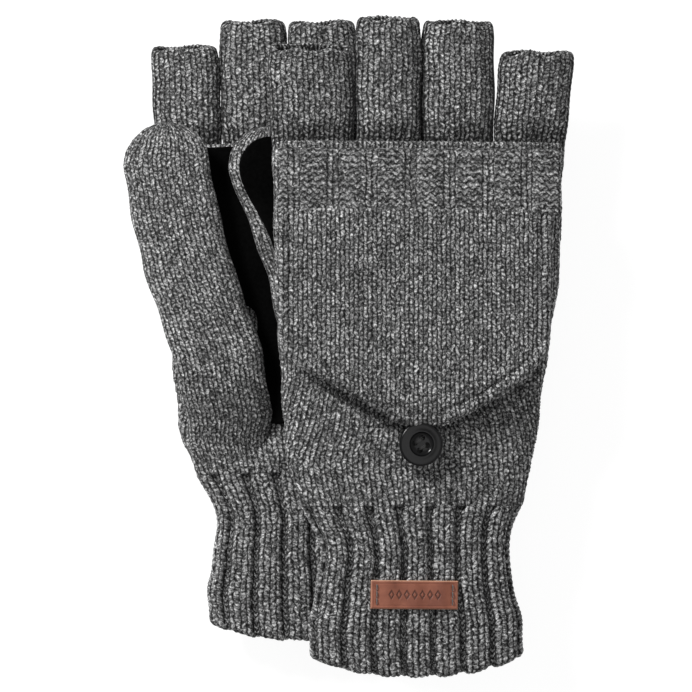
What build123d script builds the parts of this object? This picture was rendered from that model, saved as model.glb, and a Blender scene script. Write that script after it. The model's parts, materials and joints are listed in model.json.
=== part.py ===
"""A pair of convertible flip-top mittens: half-finger gloves with a buttoned-back mitten flap.

The pair lies flat. The left glove is palm up on the ground; the right glove lies on it, back up, tilted down
to the right where it leans over the edge of the left palm.

One glove is modelled as a right hand, in its own frame, in millimetres:
    X  across the hand, thumb at -X        Y  along the hand, 0 where the cuff begins, fingers at +Y
    Z  through the hand, 0 at mid thickness, back of the hand at +Z
The left glove is the same glove mirrored through its own XY plane. The pair's frame is +Z up, with its origin
at the bottom centre of the pair's box.
"""

from build123d import *

import os
from math import cos, pi, sin, sqrt

# ---- Knit ---------------------------------------------------------------------------------------------
KNIT_WALL = 2.0            # one layer of the knit
RIB_WALL = 2.2             # one layer of the cuff's rib
CLEARANCE = 0.3            # free space between layers that only lie on each other

# ---- Hand and cuff --------------------------------------------------------------------------------------
HAND_THICKNESS = 9.6
RIGHT_HAND_LENGTH = 125.0  # cuff line to the finger crotches, as the right glove lies
LEFT_HAND_LENGTH = 114.5   # the same knit, lying a little less stretched
# share of the hand's length, left edge, right edge
HAND_SECTIONS = (
    (0.0, -40.6, 36.6),
    (0.12, -46.2, 41.2),
    (0.32, -47.8, 44.6),
    (0.64, -50.4, 50.6),
    (1.0, -50.9, 52.0),
)
CUFF_THICKNESS = 11.0
# y, left edge, right edge
CUFF_SECTIONS = (
    (0.0, -40.6, 36.6),
    (-7.0, -35.4, 33.2),
    (-17.5, -33.2, 31.4),
    (-40.0, -37.4, 36.2),
    (-60.0, -37.6, 37.4),
)
CUFF_CORNER_Y = -50.5      # the hem of the cuff is an arc: its corners
CUFF_HEM_Y = -58.2         # and its middle

# ---- Finger stubs: name, base centre x, base width, top centre x, top width, length -----------------------
RIGHT_STUBS = (
    ("index", -36.3, 28.8, -37.2, 29.4, 33.0),
    ("middle", -10.2, 22.6, -10.0, 22.8, 42.6),
    ("ring", 14.2, 25.0, 14.2, 24.8, 41.6),
    ("little", 39.5, 25.4, 42.2, 26.6, 31.4),
)
# the left glove's fingers lie a little closer together and further out
LEFT_STUBS = (
    ("index", -39.4, 23.0, -39.8, 23.8, 34.5),
    ("middle", -16.3, 23.0, -15.9, 23.4, 42.6),
    ("ring", 8.0, 25.0, 8.2, 24.2, 41.6),
    ("little", 33.4, 25.0, 36.0, 25.0, 31.4),
)
STUB_GAP = 0.3             # free space between two stubs at their bases

# ---- Thumb ----------------------------------------------------------------------------------------------
THUMB_THICKNESS = 9.0
# y below the thumb's tip, centre x, width
RIGHT_THUMB_SECTIONS = (
    (104.0, -25.0, 31.0),
    (80.0, -28.2, 33.0),
    (52.0, -34.4, 32.6),
    (30.0, -42.6, 32.0),
    (15.0, -49.2, 31.0),
)
# the left thumb lies straighter
LEFT_THUMB_SECTIONS = (
    (104.0, -28.0, 31.0),
    (80.0, -31.5, 32.5),
    (52.0, -40.2, 32.4),
    (30.0, -44.9, 31.6),
    (15.0, -46.8, 31.0),
)
THUMB_TIP_STEPS = (0.35, 0.62, 0.84, 0.97)  # rounding of the tip, as shares of the last section's distance
THUMB_TIP_FLATNESS = 0.3   # how much of its thickness the tip keeps at its very end
RIGHT_THUMB_REACH = 6.2    # tip beyond the finger crotches
LEFT_THUMB_REACH = 8.4     # the thumbs are as long as each other, and the left hand is less stretched
THUMB_CAVITY_STEPS = 2     # the cavity goes this many of the tip's steps in

# ---- Suede patches --------------------------------------------------------------------------------------
PATCH_THICKNESS = 1.0
PATCH_BORDER = 4.2         # knit left showing round the thumb's patch
THUMB_PATCH_CROWN = 11.0   # height of the thumb patch's rounded end
PALM_PATCH_TOP_INSET = 0.8
PALM_PATCH_BOTTOM = 17.0
PALM_PATCH_LEFT = -17.5    # beside the thumb's base
PALM_PATCH_UPPER_LEFT = -44.0
PALM_PATCH_RIGHT = 38.0
PALM_PATCH_FLARE = 6.0     # the right edge leans out by this much towards the fingers
PALM_PATCH_STEP = 62.0     # y at which the patch widens above the thumb's base, on the longer glove
PALM_PATCH_STEP_RISE = 12.0
PALM_PATCH_CORNER = 5.0

# ---- Mitten flap ----------------------------------------------------------------------------------------
FLAP_LEFT = -50.2
FLAP_RIGHT = 46.0
FLAP_TIP = (0.8, 29.3)
FLAP_TIP_HALF = 7.0        # half width and rise of the point's rounding
FLAP_TIP_RISE = 1.2
FLAP_RIGHT_SHOULDER = (45.0, 62.0)          # where the right side leaves the straight edge
FLAP_RIGHT_MIDDLE = (37.0, 46.5)
FLAP_LEFT_SHOULDER = (-50.2, 66.0)
FLAP_LEFT_MIDDLE = (-29.0, 43.0)
HINGE_BELOW_CROTCH = 8.5   # the knuckle line, where the flap's back panel is knitted on
HINGE_HEIGHT = 1.8         # above the back of the hand
BACK_PANEL_END = 1.2       # the back panel stops this far from the knuckle line
BASE_SEAM_RADIUS = 0.9
BASE_SEAM_INSET = 2.0
POCKET_GAP = 0.6
HEM_THICKNESS = 2.4
HEM_WIDTH = 22.7
HEM_PAST_HINGE = 6.1
HEM_OVERHANG = 3.2         # the hem spreads wider than the panel on the right
HEM_CORNER = 2.0

# ---- Button, loop and label -----------------------------------------------------------------------------
BUTTON_CENTRE = (0.7, 21.5)
BUTTON_DIAMETER = 14.5
BUTTON_THICKNESS = 3.0
BUTTON_EDGE = 1.0          # rounding of the rim
BUTTON_RECESS_DIAMETER = 8.4
BUTTON_RECESS_DEPTH = 1.1
BUTTON_HOLE = 1.7
BUTTON_HOLE_SPREAD = 1.5   # each hole's distance from the button's middle, both ways
BUTTON_TURN = 34.0         # degrees
BUTTON_STANDOFF = 2.6      # underside above the back of the hand
SHANK_RADIUS = 1.2
SHANK_LIFT = 0.4
THREAD = 1.1
THREAD_GATHER = 0.35       # thickness of the thread gathered under the button
THREAD_BAR = 0.5           # height of the thread that crosses the recess
LOOP_CORD = 1.5
LOOP_INNER_RADIUS = 2.0
LOOP_HEIGHT = 1.35         # above the back of the hand
LOOP_TUCK = 0.35           # the loop's ends stop this far from the flap's point
LABEL_SIZE = (30.4, 9.8, 1.2)
LABEL_CORNER = 0.8
LABEL_CENTRE = (-2.1, -30.2)
LABEL_TURN = -1.0          # degrees
LABEL_GAP = 0.02
STITCH_SIZE = (0.5, 1.9, 0.3)
STITCH_LIFT = 0.2          # the stitches' middle above the label's face
STITCH_PITCH = 2.4
STITCH_INSET = 2.0

# ---- How the two gloves lie (millimetres and degrees, before the pair is centred) --------------------------
RIGHT_PLACE = (24.5, -55.0)
RIGHT_TILT = 10.0          # about the length of the hand, right edge down
LEFT_PLACE = (-11.7, -43.7)
LEFT_TURN = 1.8
LIFT_OVER_LEFT_PALM = 0.4

# ---- Levels through one glove, worked out from the sizes above ---------------------------------------------
BACK_OF_HAND = HAND_THICKNESS / 2
PALM = -HAND_THICKNESS / 2
HINGE_Z = BACK_OF_HAND + HINGE_HEIGHT
BACK_PANEL_BOTTOM = HINGE_Z - KNIT_WALL / 2
POCKET_FLOOR = HINGE_Z + KNIT_WALL / 2 + POCKET_GAP
FLAP_TOP = POCKET_FLOOR + HEM_THICKNESS
PALM_PATCH_BOTTOM_Z = PALM - PATCH_THICKNESS
THUMB_PATCH_TOP = PALM_PATCH_BOTTOM_Z - CLEARANCE
THUMB_TOP = THUMB_PATCH_TOP - PATCH_THICKNESS
THUMB_MIDDLE = THUMB_TOP - THUMB_THICKNESS / 2
THUMB_BOTTOM = THUMB_TOP - THUMB_THICKNESS
# how far the palm panel leaves the back panel when the flap closes over the fingers
FLAP_SPREAD = 2 * HINGE_Z - POCKET_FLOOR - PALM_PATCH_BOTTOM_Z + CLEARANCE
FAR = 400.0                # larger than the whole pair


def section(y, left, right, thickness, z=0.0):
    """A flattened tube's cross-section: a slot across the hand at y."""
    plane = Plane(origin=((left + right) / 2, y, z), x_dir=(1, 0, 0), z_dir=(0, -1, 0))
    width = max(right - left, thickness * 1.02)
    return plane * SlotOverall(width, thickness)


def tube(sections, wall, cavity=None):
    """A knitted tube through sections of (y, left, right, thickness, z).

    The cavity follows its own sections.
    """
    outside = loft([section(*s) for s in sections], ruled=True)
    inner = [(y, a + wall, b - wall, t - 2 * wall, z) for y, a, b, t, z in (cavity or sections)]
    return outside - loft([section(*s) for s in inner], ruled=True)


def in_panels(knit, cavity_height, z=0.0, cap_from=FAR / 2):
    """A flat tube as its upper face, its lower face and its sides, each a solid that touches the next.

    No piece bends round the hollow, so the hollow stays open in collision. A closed end is one more
    solid, from cap_from on.
    """
    end = Pos(0, cap_from + FAR / 2, 0) * Box(FAR, FAR, FAR)
    sheet = Pos(0, 0, z + (FAR + cavity_height) / 2) * Box(FAR, FAR, FAR)
    open_run = knit - end
    parts = [open_run & sheet]
    parts.append(open_run & Pos(0, 0, -FAR - cavity_height) * sheet)
    parts.append(open_run & Pos(0, 0, z) * Box(FAR, FAR, cavity_height))
    if cap_from < FAR / 2:
        parts.append(knit & end)
    return Compound(children=[solid for part in parts for solid in part.solids()])


def plate(outline, bottom, top):
    """A sheet of fabric: a plan outline extruded from bottom to top."""
    return Pos(0, 0, bottom) * extrude(make_face(outline), top - bottom)


def hand_knit(length):
    sections = [(share * length, a, b, HAND_THICKNESS, 0.0) for share, a, b in HAND_SECTIONS]
    return in_panels(tube(sections, KNIT_WALL), HAND_THICKNESS - 2 * KNIT_WALL)


def cuff_rib():
    sections = [(y, a, b, CUFF_THICKNESS, 0.0) for y, a, b in CUFF_SECTIONS]
    edge = CUFF_SECTIONS[-1][2] + 10
    hem = ThreePointArc((-edge, CUFF_CORNER_Y), (0, CUFF_HEM_Y), (edge, CUFF_CORNER_Y))
    sides = Polyline((edge, CUFF_CORNER_Y), (edge, 10), (-edge, 10), (-edge, CUFF_CORNER_Y))
    rib = tube(sections, RIB_WALL) & plate(hem + sides, -CUFF_THICKNESS, CUFF_THICKNESS)
    return in_panels(rib, CUFF_THICKNESS - 2 * RIB_WALL)


def finger_stub(length, base_x, base_width, top_x, top_width, stub_length):
    base = (length, base_x - base_width / 2 + STUB_GAP / 2, base_x + base_width / 2 - STUB_GAP / 2)
    top = (length + stub_length, top_x - top_width / 2, top_x + top_width / 2)
    return tube([(*base, HAND_THICKNESS, 0.0), (*top, HAND_THICKNESS, 0.0)], KNIT_WALL)


def thumb_rows(sections, tip):
    """Sections up the thumb, then a rounded tip."""
    rows = []
    for down, x, width in sections:
        rows.append((tip - down, x - width / 2, x + width / 2, THUMB_THICKNESS, THUMB_MIDDLE))
    reach, x, width = sections[-1]
    for step in THUMB_TIP_STEPS:
        share = sqrt(1 - step**2)
        half = width / 2 * share
        thickness = THUMB_THICKNESS * (THUMB_TIP_FLATNESS + (1 - THUMB_TIP_FLATNESS) * share)
        rows.append((tip - reach * (1 - step), x - half, x + half, thickness, THUMB_MIDDLE))
    return rows


def thumb(sections, tip):
    rows = thumb_rows(sections, tip)
    cavity = rows[: len(sections) + THUMB_CAVITY_STEPS]
    knit = tube(rows, KNIT_WALL, cavity)
    cap_from = rows[len(sections) - 1][0]
    return in_panels(knit, THUMB_THICKNESS - 2 * KNIT_WALL, THUMB_MIDDLE, cap_from)


def thumb_patch(sections, tip):
    rows = thumb_rows(sections, tip)[1 : len(sections)]
    left = [(a + PATCH_BORDER, y) for y, a, b, t, z in rows]
    right = [(b - PATCH_BORDER, y) for y, a, b, t, z in rows]
    middle = (left[-1][0] + right[-1][0]) / 2
    half = (right[-1][0] - left[-1][0]) / 2
    crown = []
    for angle in (3 * pi / 4, pi / 2, pi / 4):
        crown.append((middle + half * cos(angle), rows[-1][0] + THUMB_PATCH_CROWN * sin(angle)))
    outline = Spline(*left, *crown, *reversed(right)) + Line(right[0], left[0])
    return plate(outline, THUMB_TOP, THUMB_PATCH_TOP)


def palm_patch(length):
    top = length - PALM_PATCH_TOP_INSET
    step = PALM_PATCH_STEP * length / RIGHT_HAND_LENGTH
    outline = FilletPolyline(
        (PALM_PATCH_LEFT, PALM_PATCH_BOTTOM),
        (PALM_PATCH_LEFT, step),
        (PALM_PATCH_UPPER_LEFT, step + PALM_PATCH_STEP_RISE),
        (PALM_PATCH_UPPER_LEFT, top),
        (PALM_PATCH_RIGHT + PALM_PATCH_FLARE, top),
        (PALM_PATCH_RIGHT, PALM_PATCH_BOTTOM),
        radius=PALM_PATCH_CORNER,
        close=True,
    )
    return plate(outline, PALM_PATCH_BOTTOM_Z, PALM)


def flap_outline(length, end):
    """The flap's plan from its rounded point up to y = end."""
    drop = (length - RIGHT_HAND_LENGTH) / 2
    tip_x, tip_y = FLAP_TIP
    right_shoulder = (FLAP_RIGHT_SHOULDER[0], FLAP_RIGHT_SHOULDER[1] + drop)
    left_shoulder = (FLAP_LEFT_SHOULDER[0], FLAP_LEFT_SHOULDER[1] + drop)
    right_point = (tip_x + FLAP_TIP_HALF, tip_y + FLAP_TIP_RISE)
    left_point = (tip_x - FLAP_TIP_HALF, tip_y + FLAP_TIP_RISE)
    right_side = Line((FLAP_RIGHT, end), right_shoulder)
    right_curve = Spline(right_shoulder, FLAP_RIGHT_MIDDLE, right_point, tangents=((0, -1), (-1, -0.5)))
    tip = ThreePointArc(right_point, FLAP_TIP, left_point)
    left_curve = Spline(left_point, FLAP_LEFT_MIDDLE, left_shoulder, tangents=((-1, 0.5), (0, 1)))
    left_side = Line(left_shoulder, (FLAP_LEFT, end))
    across = Line((FLAP_LEFT, end), (FLAP_RIGHT, end))
    return right_side + right_curve + tip + left_curve + left_side + across


def hinge_y(length):
    return length - HINGE_BELOW_CROTCH


def flap_back_panel(length):
    outline = flap_outline(length, hinge_y(length) - BACK_PANEL_END)
    return plate(outline, BACK_PANEL_BOTTOM, HINGE_Z + KNIT_WALL / 2)


def flap_palm_panel(length):
    hem_start = hinge_y(length) + HEM_PAST_HINGE - HEM_WIDTH
    return plate(flap_outline(length, hem_start), FLAP_TOP - KNIT_WALL, FLAP_TOP)


def flap_rib_hem(length):
    top = hinge_y(length) + HEM_PAST_HINGE
    width = FLAP_RIGHT + HEM_OVERHANG - FLAP_LEFT
    middle = (FLAP_LEFT + width / 2, top - HEM_WIDTH / 2)
    band = RectangleRounded(width, HEM_WIDTH, HEM_CORNER)
    return Pos(*middle, FLAP_TOP - HEM_THICKNESS) * extrude(band, HEM_THICKNESS)


def flap_base_seam(length):
    reach = FLAP_RIGHT - FLAP_LEFT - 2 * BASE_SEAM_INSET
    centre = Pos((FLAP_RIGHT + FLAP_LEFT) / 2, hinge_y(length), HINGE_Z)
    return centre * Rot(0, 90, 0) * Cylinder(BASE_SEAM_RADIUS, reach)


def hole_places():
    return [Pos(x * BUTTON_HOLE_SPREAD, y * BUTTON_HOLE_SPREAD, 0) for x in (-1, 1) for y in (-1, 1)]


def button_place():
    return Pos(*BUTTON_CENTRE, BACK_OF_HAND) * Rot(0, 0, BUTTON_TURN)


def button():
    middle = BUTTON_STANDOFF + BUTTON_THICKNESS / 2
    disc = Pos(0, 0, middle) * Cylinder(BUTTON_DIAMETER / 2, BUTTON_THICKNESS)
    disc = fillet(disc.edges(), BUTTON_EDGE)
    top = BUTTON_STANDOFF + BUTTON_THICKNESS
    disc -= Pos(0, 0, top) * Cylinder(BUTTON_RECESS_DIAMETER / 2, 2 * BUTTON_RECESS_DEPTH)
    for place in hole_places():
        disc -= place * Pos(0, 0, middle) * Cylinder(BUTTON_HOLE / 2, 2 * BUTTON_THICKNESS)
    return button_place() * disc


def button_thread():
    """Thread up from the knit, through the four holes and across the button's recess."""
    floor = BUTTON_STANDOFF + BUTTON_THICKNESS - BUTTON_RECESS_DEPTH
    gather = BUTTON_STANDOFF - THREAD_GATHER - 0.05
    leg_top = floor + THREAD_BAR
    shank = Pos(0, 0, SHANK_LIFT) * extrude(Circle(SHANK_RADIUS), gather - SHANK_LIFT)
    shank += Pos(0, 0, gather) * extrude(Circle(BUTTON_HOLE_SPREAD * sqrt(2) + THREAD), THREAD_GATHER)
    for place in hole_places():
        shank += place * Pos(0, 0, gather) * extrude(Circle(THREAD / 2), leg_top - gather)
    bar = Box(2 * BUTTON_HOLE_SPREAD + 1.4 * THREAD, 1.2 * THREAD, THREAD_BAR)
    for side in (-1, 1):
        shank += Pos(0, side * BUTTON_HOLE_SPREAD, leg_top - 0.1 * THREAD_BAR) * bar
    return button_place() * shank


def button_loop():
    """A cord loop from the flap's point round the button's shank."""
    radius = LOOP_INNER_RADIUS + LOOP_CORD / 2
    x, y = BUTTON_CENTRE
    height = BACK_OF_HAND + LOOP_HEIGHT
    reach = FLAP_TIP[1] - LOOP_TUCK
    turn = ThreePointArc((x - radius, y), (x, y - radius), (x + radius, y))
    down = Polyline((x - radius, reach), (x - radius, y))
    up = Polyline((x + radius, y), (x + radius, reach))
    path = down + turn + up
    start = Plane(origin=(x - radius, reach, height), z_dir=(0, -1, 0))
    return sweep(start * Circle(LOOP_CORD / 2), path=Pos(0, 0, height) * path)


def label_place():
    return Pos(*LABEL_CENTRE, CUFF_THICKNESS / 2) * Rot(0, 0, LABEL_TURN)


def leather_label():
    width, height, thickness = LABEL_SIZE
    plan = RectangleRounded(width, height, LABEL_CORNER)
    return label_place() * Pos(0, 0, LABEL_GAP) * extrude(plan, thickness)


def label_stitches():
    width, height, thickness = LABEL_SIZE
    rows = []
    for side in (-1, 1):
        for step in (-1, 0, 1):
            place = Pos(side * (width / 2 - STITCH_INSET), step * STITCH_PITCH, thickness + STITCH_LIFT)
            rows.append(label_place() * place * Box(*STITCH_SIZE))
    return Compound(children=rows)


def glove(length, stubs, thumb_sections, thumb_reach, labelled):
    """Every piece of one right-hand glove in its own frame."""
    thumb_tip = length + thumb_reach
    pieces = {
        "hand_knit": hand_knit(length),
        "cuff_rib": cuff_rib(),
        "thumb_knit": thumb(thumb_sections, thumb_tip),
        "thumb_patch": thumb_patch(thumb_sections, thumb_tip),
        "palm_patch": palm_patch(length),
        "flap_base_seam": flap_base_seam(length),
        "flap_back_panel": flap_back_panel(length),
        "flap_palm_panel": flap_palm_panel(length),
        "flap_rib_hem": flap_rib_hem(length),
        "button": button(),
        "button_thread": button_thread(),
        "button_loop": button_loop(),
    }
    for name, *sizes in stubs:
        pieces[name + "_stub"] = finger_stub(length, *sizes)
    if labelled:
        pieces["leather_label"] = leather_label()
        pieces["label_stitches"] = label_stitches()
    return pieces


# ---- The pair -------------------------------------------------------------------------------------------
LEFT_FLOOR = FLAP_TOP
LEFT_PALM_Z = LEFT_FLOOR + BACK_OF_HAND + PATCH_THICKNESS
TILT = Rot(0, RIGHT_TILT, 0)
THUMB_INNER_X = RIGHT_THUMB_SECTIONS[0][1] + RIGHT_THUMB_SECTIONS[0][2] / 2
THUMB_LOW_POINT = (TILT * Pos(THUMB_INNER_X - THUMB_THICKNESS / 2, 0, THUMB_BOTTOM)).position.Z
RIGHT_HEIGHT = LEFT_PALM_Z + LIFT_OVER_LEFT_PALM - THUMB_LOW_POINT

right_place = Pos(*RIGHT_PLACE, RIGHT_HEIGHT) * TILT
left_place = Pos(*LEFT_PLACE, LEFT_FLOOR) * Rot(0, 0, LEFT_TURN)

right = glove(RIGHT_HAND_LENGTH, RIGHT_STUBS, RIGHT_THUMB_SECTIONS, RIGHT_THUMB_REACH, labelled=True)
left = glove(LEFT_HAND_LENGTH, LEFT_STUBS, LEFT_THUMB_SECTIONS, LEFT_THUMB_REACH, labelled=False)
nodes = {}
for name, piece in right.items():
    nodes["right_" + name] = right_place * piece
for name, piece in left.items():
    nodes["left_" + name] = left_place * mirror(piece, about=Plane.XY)

boxes = [solid.bounding_box() for piece in nodes.values() for solid in piece.solids()]
low = Vector(min(b.min.X for b in boxes), min(b.min.Y for b in boxes), min(b.min.Z for b in boxes))
high = Vector(max(b.max.X for b in boxes), max(b.max.Y for b in boxes), max(b.max.Z for b in boxes))
size = high - low
centre = Pos(-(low.X + high.X) / 2, -(low.Y + high.Y) / 2, -low.Z)
nodes = {name: centre * piece for name, piece in nodes.items()}

if __name__ == "__main__":
    os.makedirs("parts", exist_ok=True)
    for name, piece in nodes.items():
        export_step(piece, f"parts/{name}.step")
    print(f"{len(nodes)} nodes, {size.X:.1f} x {size.Y:.1f} x {size.Z:.1f} mm")
    print(f"flap opens by {FLAP_SPREAD:.2f} mm over half a turn, {FLAP_SPREAD / pi:.3f} mm per radian")
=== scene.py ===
"""Looks of a pair of convertible flip-top mittens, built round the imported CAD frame.

Every knitted piece is a closed shell: a grid of points that follows the CAD node's outline, row by row, with the
stitches raised from it. Shapes are worked out in each glove's own frame, in millimetres, as in the CAD model:
X across the hand from the thumb, Y from the cuff to the fingers, Z towards the back of the hand.
"""
import json
import math

import bpy
import bmesh
import numpy as np
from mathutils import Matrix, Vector


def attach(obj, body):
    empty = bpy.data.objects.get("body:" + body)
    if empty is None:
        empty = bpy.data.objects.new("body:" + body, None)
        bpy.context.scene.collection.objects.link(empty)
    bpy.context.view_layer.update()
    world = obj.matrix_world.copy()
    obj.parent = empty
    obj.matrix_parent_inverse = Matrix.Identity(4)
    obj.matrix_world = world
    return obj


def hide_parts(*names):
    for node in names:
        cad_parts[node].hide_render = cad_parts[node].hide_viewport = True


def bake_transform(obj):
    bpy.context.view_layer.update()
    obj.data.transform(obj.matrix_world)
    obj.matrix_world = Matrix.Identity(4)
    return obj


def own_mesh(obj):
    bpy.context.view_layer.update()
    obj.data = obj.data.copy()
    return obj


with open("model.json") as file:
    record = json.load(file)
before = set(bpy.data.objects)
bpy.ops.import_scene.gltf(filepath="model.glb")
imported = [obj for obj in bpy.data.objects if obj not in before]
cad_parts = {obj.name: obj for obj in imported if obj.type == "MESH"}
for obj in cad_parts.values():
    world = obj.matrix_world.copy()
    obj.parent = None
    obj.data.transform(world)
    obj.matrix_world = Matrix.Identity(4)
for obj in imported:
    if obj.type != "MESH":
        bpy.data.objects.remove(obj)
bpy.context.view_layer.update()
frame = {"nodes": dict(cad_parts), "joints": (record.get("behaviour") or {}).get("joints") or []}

MM = 0.001
rng = np.random.default_rng(42)

# ---- Glove sizes, in millimetres, in the glove's own frame ----
BACK_OF_HAND = 4.8
BUTTON_PIVOT = (0.7, 21.5, BACK_OF_HAND + 0.4)
HINGE_BELOW_CROTCH = 8.5
CUFF_CORNER_Y = -50.5
CUFF_HALF_WIDTH = 37.4
CUFF_ARC = 7.0  # the hem's corners sit this much higher than its middle
WALL = 2.0  # one layer of the knit
THUMB_UNDERSIDE = -16.1
THUMB_THINNING = 2.5  # how much flatter the pad of the thumb is near its tip
FLAP_SAG = 2.4  # the flap's rounded point hangs lower than its flat pattern
CREASE_DEPTH = 1.9  # how far the back of the hand is pressed in along the flap's edge
PATCH_PROUD = 0.15  # the patches' looks are this much thicker than their CAD solids
STUBS = ("index", "middle", "ring", "little")

# ---- Button and label ----
HOLE_SPREAD = 1.5  # each hole's distance from the button's middle, both ways
HOLE_RADIUS = 0.98
BUTTON_TURN = 34.0  # degrees
BUTTON_SHIFT = -1.1  # towards the thumb
BUTTON_GROWTH = 0.35  # in radius
LABEL_SIZE = (30.4, 9.8, 1.2)
LABEL_TURN = -1.0  # degrees
LABEL_SEAM = 2.0  # the stitches' distance from the label's ends
LABEL_STITCH = 2.4  # from one stitch to the next

# ---- Points where soft pieces are held, passed to squash ----
STUBS_HELD_AT = (-24, 130, 0)
THUMB_HELD_AT = (-45, 100, THUMB_UNDERSIDE)

# ---- Studio, in metres ----
WRIST_PLACE = (24.5, -55.0)  # the right wrist line from the middle of the camera's view, in millimetres
VIEW_WIDTH = 0.2387  # at the height of the gloves
CAMERA_HEIGHT = 1.6
GLOVE_LEVEL = 0.025
SENSOR = 36  # millimetres

# ---- Stitches ----
WALE = 3.2  # width of a column of stitches
COURSE = 2.14  # height of a row
GRID = 0.45  # spacing of the points that carry the stitches
CUFF_WALES = 45  # columns round the cuff
BODY_COUNT = 480  # points round the hand and the cuff
RIB_WALES = 3  # one rib and its groove
RIB_KNIT = 2  # plain columns in each rib
RIB_SHARE = 0.84  # of the cuff's width is plain columns
RIB_DROP = 1.6  # depth of the grooves
HEM_RIB = 13.5  # width of a rib and its purl band in the flap's hem
HEM_RIB_START = 206.8
STITCH_DEPTH = 0.62
LEG_SLANT = 0.38
PURL_WAVE = 0.24


# ==== Frame ====
def joint(name):
    return next(j for j in frame["joints"] if j["name"] == name)


class Glove:
    """One glove's own frame, worked out from its joints."""

    def __init__(self, side):
        self.side = side
        self.mirrored = side == "left"
        sense = 1 if self.mirrored else -1
        across = Vector(joint(side + "_flap_turn")["axis"]) * sense
        up = Vector(joint(side + "_flap_open")["axis"])
        along = up.cross(across) * -sense
        self.basis = np.array([across.normalized(), along.normalized(), up.normalized()])
        pivot = np.array(joint(side + "_button_tilt")["pos_m"]) / MM
        self.origin = pivot - np.array(BUTTON_PIVOT) @ self.basis
        self.length = self.to_local(np.array([joint(side + "_flap_turn")["pos_m"]]))[0, 1] + HINGE_BELOW_CROTCH

    def to_world(self, points):
        return (np.asarray(points, float) @ self.basis + self.origin) * MM

    def to_local(self, points):
        return (np.asarray(points, float) / MM - self.origin) @ self.basis.T

    def node(self, name):
        """A CAD node's points in the glove's frame, and its edges."""
        mesh = frame["nodes"][f"{self.side}_{name}"].data
        edges = np.zeros(len(mesh.edges) * 2, int)
        mesh.edges.foreach_get("vertices", edges)
        return self.to_local(points_of(mesh)), edges.reshape(-1, 2)

    def outline(self, name, step=1.0):
        """Left edge, right edge, middle height and thickness of a CAD node, at rows across it."""
        points, edges = self.node(name)
        a, b = points[edges[:, 0]], points[edges[:, 1]]
        low, high = points[:, 1].min() + 0.02, points[:, 1].max() - 0.02
        rows = np.linspace(low, high, max(3, int((high - low) / step)))
        found = []
        for y in rows:
            hit = (a[:, 1] - y) * (b[:, 1] - y) < 0
            share = (y - a[hit, 1]) / (b[hit, 1] - a[hit, 1])
            cut = a[hit] + share[:, None] * (b[hit] - a[hit])
            found.append((cut[:, 0].min(), cut[:, 0].max(), cut[:, 2].min(), cut[:, 2].max()))
        found = np.array(found)
        return Outline(rows, found[:, 0], found[:, 1], (found[:, 2] + found[:, 3]) / 2, found[:, 3] - found[:, 2])


class Outline:
    """Edges, height and thickness of a flat piece as functions of y."""

    def __init__(self, y, left, right, middle, thick):
        self.y, self.left, self.right, self.middle, self.thick = y, left, right, middle, thick

    def at(self, y):
        return [np.interp(y, self.y, value) for value in (self.left, self.right, self.middle, self.thick)]

    def smooth(self, reach):
        """Rounds the corners that the CAD model's straight runs leave."""
        step = self.y[1] - self.y[0]
        half = max(1, int(reach / step))
        kernel = np.hanning(2 * half + 3)[1:-1]
        kernel /= kernel.sum()

        def soften(values):
            head = 2 * values[0] - values[half:0:-1]
            tail = 2 * values[-1] - values[-2 : -half - 2 : -1]
            return np.convolve(np.concatenate([head, values, tail]), kernel, "valid")

        return Outline(self.y, *[soften(v) for v in (self.left, self.right, self.middle, self.thick)])

    def joined(self, other):
        parts = [np.concatenate(pair) for pair in zip(self.values(), other.values())]
        order = np.argsort(parts[0], kind="stable")
        return Outline(*[p[order] for p in parts])

    def values(self):
        return self.y, self.left, self.right, self.middle, self.thick

    def resampled(self, step=1.0):
        y = np.linspace(self.y[0], self.y[-1], int((self.y[-1] - self.y[0]) / step))
        return Outline(y, *self.at(y))


# ==== Knit ====
HASH_SIZE = 512
shift_table = rng.random((HASH_SIZE, HASH_SIZE))


def fract(x):
    return x - np.floor(x)


def ease(low, high, x):
    t = np.clip((x - low) / (high - low), 0, 1)
    return t * t * (3 - 2 * t)


def look_up(table, i, j):
    return table[np.mod(i.astype(int), HASH_SIZE), np.mod(j.astype(int), HASH_SIZE)]


def plain_stitch(u, v):
    """Height of stocking stitch, 0 to 1: columns of V-shaped pairs of legs, u in wales and v in courses."""
    leg = 4 * np.abs(fract(u) - 0.5) - 1
    step = fract(v - LEG_SLANT * leg)
    return np.clip(1 - leg**2, 0, 1) ** 0.5 * (0.45 + 0.55 * np.sin(math.pi * step) ** 0.7)


def purl_stitch(u, v):
    """Height of the wrong side: wavy bumps across the columns."""
    step = fract(v + PURL_WAVE * np.cos(2 * math.pi * u))
    return 0.15 + 0.7 * np.sin(math.pi * step) ** 0.7


def column_shift(u):
    """No two columns are drawn up quite alike."""
    return 0.5 * (look_up(shift_table, np.floor(u), 0 * u) - 0.5)


def warp(u, period, knit, knit_share):
    """Ribs: of each period's columns, `knit` plain ones spread over knit_share of the width. Gives the column
    coordinate and how deep in the groove a point is, from 0 to 1."""
    place = u / period
    rib = np.floor(place + 0.5)
    q = place - rib
    half = knit_share / 2
    outside = np.clip((np.abs(q) - half) / (0.5 - half), 0, 1)
    inner = np.clip(np.abs(q) / half, 0, 1) * knit / 2
    local = np.sign(q) * (inner + outside * (period - knit) / 2)
    return rib * period + local, outside, np.abs(q) / half


def swell(x, y, seed, size):
    """Slow unevenness of soft fabric."""
    r = np.random.default_rng(seed)
    total = np.zeros_like(x)
    for _ in range(6):
        angle, phase = r.random(2) * 2 * math.pi
        wave = 2 * math.pi / (22 + 45 * r.random())
        total += np.sin((x * math.cos(angle) + y * math.sin(angle)) * wave + phase)
    return total / 6 * size


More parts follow.
